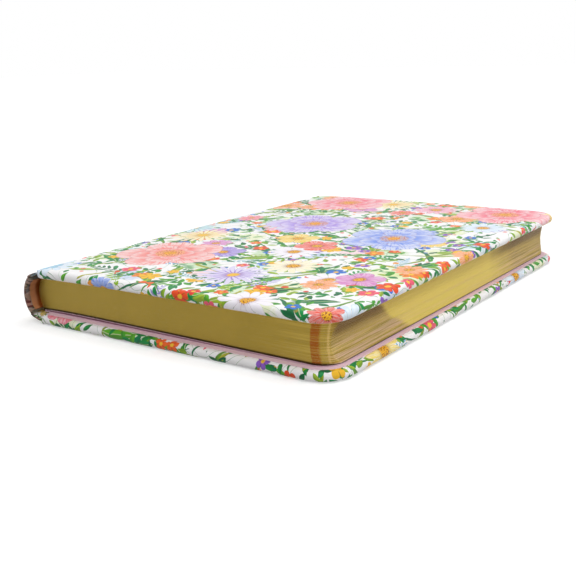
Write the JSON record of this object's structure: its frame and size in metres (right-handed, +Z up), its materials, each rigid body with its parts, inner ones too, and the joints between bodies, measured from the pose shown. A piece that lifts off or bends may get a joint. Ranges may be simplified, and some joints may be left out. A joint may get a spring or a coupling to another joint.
{
  "type": "hardcover journal",
  "caption": "Case-bound journal with rounded hollow spine, nosed paper-covered boards that open at grooved joints, coloured endpapers and gilt-edged sewn leaves.",
  "frame": {"origin": "centre of the box at the underside of the back cover, where the journal lies on a table", "axes": "+X from spine to fore edge, +Y from tail to head, +Z up through the closed book to the front cover"},
  "size_m": [0.1288, 0.178, 0.0204],
  "materials": {
    "printed_paper": null,
    "greyboard": "raw greyboard",
    "endpaper": "plain pink-lilac uncoated paper",
    "gilt_edged_paper": "cream writing paper with gilt edges",
    "mull_cloth": "open starched cotton",
    "kraft_paper": "brown kraft",
    "linen_thread": "waxed linen thread"
  },
  "bodies": {
    "text_block_and_spine": {"spine_wrap": "printed_paper", "spine_card": "greyboard", "front_joint_wrap": "printed_paper", "back_joint_wrap": "printed_paper", "front_endpaper_fold": "endpaper", "back_endpaper_fold": "endpaper", "section_01": "gilt_edged_paper", "section_02": "gilt_edged_paper", "section_03": "gilt_edged_paper", "section_04": "gilt_edged_paper", "section_05": "gilt_edged_paper", "section_06": "gilt_edged_paper", "section_07_fold": "gilt_edged_paper", "section_08_fold": "gilt_edged_paper", "section_09_fold": "gilt_edged_paper", "section_10_fold": "gilt_edged_paper", "mull": "mull_cloth", "spine_lining": "kraft_paper", "sewing_thread": "linen_thread"},
    "front_cover": {"front_board": "greyboard", "front_wrap": "printed_paper", "front_pastedown": "endpaper", "front_mull_flange": "mull_cloth"},
    "back_cover": {"back_board": "greyboard", "back_wrap": "printed_paper", "back_pastedown": "endpaper", "back_mull_flange": "mull_cloth"},
    "front_flyleaf": {"front_flyleaf": "endpaper"},
    "back_flyleaf": {"back_flyleaf": "endpaper"},
    "leaves_07": {"section_07_leaves": "gilt_edged_paper"},
    "leaves_08": {"section_08_leaves": "gilt_edged_paper"},
    "leaves_09": {"section_09_leaves": "gilt_edged_paper"},
    "leaves_10": {"section_10_leaves": "gilt_edged_paper"}
  },
  "joints": [
    {"name": "front_cover_hinge", "type": "hinge", "parent": "text_block_and_spine", "child": "front_cover", "pos_m": [-0.0598, 0, 0.0166], "axis": [0, -1, 0], "range_deg": [0, 180], "deforming": ["front_joint_wrap"]},
    {"name": "back_cover_hinge", "type": "hinge", "parent": "text_block_and_spine", "child": "back_cover", "pos_m": [-0.0599, 0, 0.0039], "axis": [0, 1, 0], "range_deg": [0, 180], "deforming": ["back_joint_wrap"]},
    {"name": "front_flyleaf_hinge", "type": "hinge", "parent": "text_block_and_spine", "child": "front_flyleaf", "pos_m": [-0.0576, 0, 0.01584], "axis": [0, -1, 0], "range_deg": [0, 165], "deforming": ["front_endpaper_fold"]},
    {"name": "back_flyleaf_hinge", "type": "hinge", "parent": "text_block_and_spine", "child": "back_flyleaf", "pos_m": [-0.0576, 0, 0.0031], "axis": [0, 1, 0], "range_deg": [0, 180], "deforming": ["back_endpaper_fold"]},
    {"name": "leaves_07_turn", "type": "hinge", "parent": "text_block_and_spine", "child": "leaves_07", "pos_m": [-0.0576, 0, 0.01116], "axis": [0, -1, 0], "range_deg": [0, 20], "deforming": ["section_07_fold"]},
    {"name": "leaves_08_turn", "type": "hinge", "parent": "text_block_and_spine", "child": "leaves_08", "pos_m": [-0.0576, 0, 0.01233], "axis": [0, -1, 0], "range_deg": [0, 45], "deforming": ["section_08_fold"]},
    {"name": "leaves_09_turn", "type": "hinge", "parent": "text_block_and_spine", "child": "leaves_09", "pos_m": [-0.0576, 0, 0.0135], "axis": [0, -1, 0], "range_deg": [0, 75], "deforming": ["section_09_fold"]},
    {"name": "leaves_10_turn", "type": "hinge", "parent": "text_block_and_spine", "child": "leaves_10", "pos_m": [-0.0576, 0, 0.01467], "axis": [0, -1, 0], "range_deg": [0, 110], "deforming": ["section_10_fold"]}
  ],
  "couplings": [
    {"joint": "front_flyleaf_hinge", "follows": "front_cover_hinge", "ratio": 0.91667},
    {"joint": "back_flyleaf_hinge", "follows": "back_cover_hinge", "ratio": 1},
    {"joint": "leaves_07_turn", "follows": "front_cover_hinge", "ratio": 0.11111},
    {"joint": "leaves_08_turn", "follows": "front_cover_hinge", "ratio": 0.25},
    {"joint": "leaves_09_turn", "follows": "front_cover_hinge", "ratio": 0.41667},
    {"joint": "leaves_10_turn", "follows": "front_cover_hinge", "ratio": 0.61111}
  ]
}
